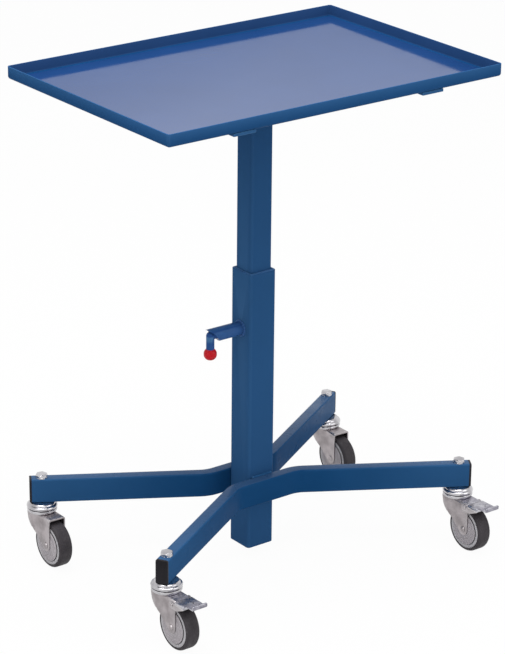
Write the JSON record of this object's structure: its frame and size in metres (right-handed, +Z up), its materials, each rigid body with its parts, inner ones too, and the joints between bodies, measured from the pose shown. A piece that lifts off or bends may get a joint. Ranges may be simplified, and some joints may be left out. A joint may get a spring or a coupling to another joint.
{
  "type": "material support stand",
  "caption": "Height-adjustable workshop stand: a shallow steel tray on a telescoping square post with a spring lock, on bent legs with swivel casters, the front ones braked",
  "frame": {"origin": "on the floor, under the middle of the stand's overall box; the post's axis is at X 0, Y +21.75 mm", "axes": "+Z up; +X along the tray's long side, away from the lock handle; -Y towards the braked casters"},
  "size_m": [0.6242, 0.4634, 0.81],
  "materials": {
    "frame_blue": "gentian blue powder coat, satin to glossy",
    "plated_steel": "bright zinc plating",
    "fork_steel": "zinc-plated pressed sheet, slightly warm",
    "spring_steel": "plain spring and bearing steel",
    "cap_black": "black moulded plastic",
    "guide_white": "natural nylon",
    "knob_red": "glossy red moulded plastic",
    "wheel_grey": "mid-grey moulded plastic",
    "tread_grey": "dark grey non-marking thermoplastic rubber"
  },
  "bodies": {
    "base": {"post": "frame_blue", "post_plug": "cap_black", "guide_bush": "guide_white", "leg_front": "frame_blue", "leg_back": "frame_blue", "cap_front_left": "cap_black", "cap_front_right": "cap_black", "cap_back_left": "cap_black", "cap_back_right": "cap_black", "frame_welds": "frame_blue", "lock_tube": "frame_blue", "caster_bolts": "plated_steel", "caster_washers": "plated_steel", "caster_nuts": "plated_steel", "caster_balls": "spring_steel", "head_front_left": "plated_steel", "head_front_right": "plated_steel", "head_back_left": "plated_steel", "head_back_right": "plated_steel"},
    "tray_mast": {"mast": "frame_blue", "mast_glide": "guide_white", "head_plate": "frame_blue", "head_fasteners": "plated_steel", "mast_welds": "frame_blue", "support_beam": "frame_blue", "rail_left": "frame_blue", "rail_right": "frame_blue", "tray": "frame_blue", "tray_welds": "frame_blue"},
    "lock_slider": {"lock_collar": "plated_steel", "lock_spring": "spring_steel"},
    "lock_handle": {"lock_handle": "frame_blue", "lock_knob": "knob_red"},
    "swivel_front_left": {"fork_front_left": "fork_steel", "axle_front_left": "plated_steel", "guards_front_left": "wheel_grey", "rivets_left": "plated_steel"},
    "wheel_front_left": {"core_front_left": "wheel_grey", "tyre_front_left": "tread_grey"},
    "swivel_front_right": {"fork_front_right": "fork_steel", "axle_front_right": "plated_steel", "guards_front_right": "wheel_grey", "rivets_right": "plated_steel"},
    "wheel_front_right": {"core_front_right": "wheel_grey", "tyre_front_right": "tread_grey"},
    "swivel_back_left": {"fork_back_left": "fork_steel", "axle_back_left": "plated_steel", "guards_back_left": "wheel_grey"},
    "wheel_back_left": {"core_back_left": "wheel_grey", "tyre_back_left": "tread_grey"},
    "swivel_back_right": {"fork_back_right": "fork_steel", "axle_back_right": "plated_steel", "guards_back_right": "wheel_grey"},
    "wheel_back_right": {"core_back_right": "wheel_grey", "tyre_back_right": "tread_grey"},
    "pedal_left": {"pedal_left": "fork_steel", "pad_left": "cap_black"},
    "pedal_right": {"pedal_right": "fork_steel", "pad_right": "cap_black"}
  },
  "joints": [
    {"name": "tray_lift", "type": "slide", "parent": "base", "child": "tray_mast", "axis": [0, 0, 1], "range_m": [-0.06, 0.24]},
    {"name": "lock_pull", "type": "slide", "parent": "base", "child": "lock_slider", "axis": [-1, 0, 0], "range_m": [0, 0.018], "deforming": ["lock_spring"]},
    {"name": "handle_turn", "type": "hinge", "parent": "lock_slider", "child": "lock_handle", "pos_m": [-0.083, 0.02175, 0.389], "axis": [-1, 0, 0], "range_deg": [0, 180]},
    {"name": "swivel_front_left", "type": "hinge", "parent": "base", "child": "swivel_front_left", "pos_m": [-0.2876, -0.14975, 0.09], "axis": [0, 0, 1], "continuous": true},
    {"name": "roll_front_left", "type": "hinge", "parent": "swivel_front_left", "child": "wheel_front_left", "pos_m": [-0.2876, -0.18275, 0.0375], "axis": [1, 0, 0], "continuous": true},
    {"name": "swivel_front_right", "type": "hinge", "parent": "base", "child": "swivel_front_right", "pos_m": [0.2876, -0.14975, 0.09], "axis": [0, 0, 1], "continuous": true},
    {"name": "roll_front_right", "type": "hinge", "parent": "swivel_front_right", "child": "wheel_front_right", "pos_m": [0.2876, -0.18275, 0.0375], "axis": [1, 0, 0], "continuous": true},
    {"name": "swivel_back_left", "type": "hinge", "parent": "base", "child": "swivel_back_left", "pos_m": [-0.2876, 0.19325, 0.09], "axis": [0, 0, 1], "continuous": true},
    {"name": "roll_back_left", "type": "hinge", "parent": "swivel_back_left", "child": "wheel_back_left", "pos_m": [-0.2876, 0.16025, 0.0375], "axis": [1, 0, 0], "continuous": true},
    {"name": "swivel_back_right", "type": "hinge", "parent": "base", "child": "swivel_back_right", "pos_m": [0.2876, 0.19325, 0.09], "axis": [0, 0, 1], "continuous": true},
    {"name": "roll_back_right", "type": "hinge", "parent": "swivel_back_right", "child": "wheel_back_right", "pos_m": [0.2876, 0.16025, 0.0375], "axis": [1, 0, 0], "continuous": true},
    {"name": "brake_left", "type": "hinge", "parent": "swivel_front_left", "child": "pedal_left", "pos_m": [-0.2876, -0.18525, 0.077], "axis": [1, 0, 0], "range_deg": [0, 12]},
    {"name": "brake_right", "type": "hinge", "parent": "swivel_front_right", "child": "pedal_right", "pos_m": [0.2876, -0.18525, 0.077], "axis": [1, 0, 0], "range_deg": [0, 12]}
  ],
  "couplings": [
    {"joint": "handle_turn", "follows": "lock_pull", "rad_per_m": 174.5}
  ]
}
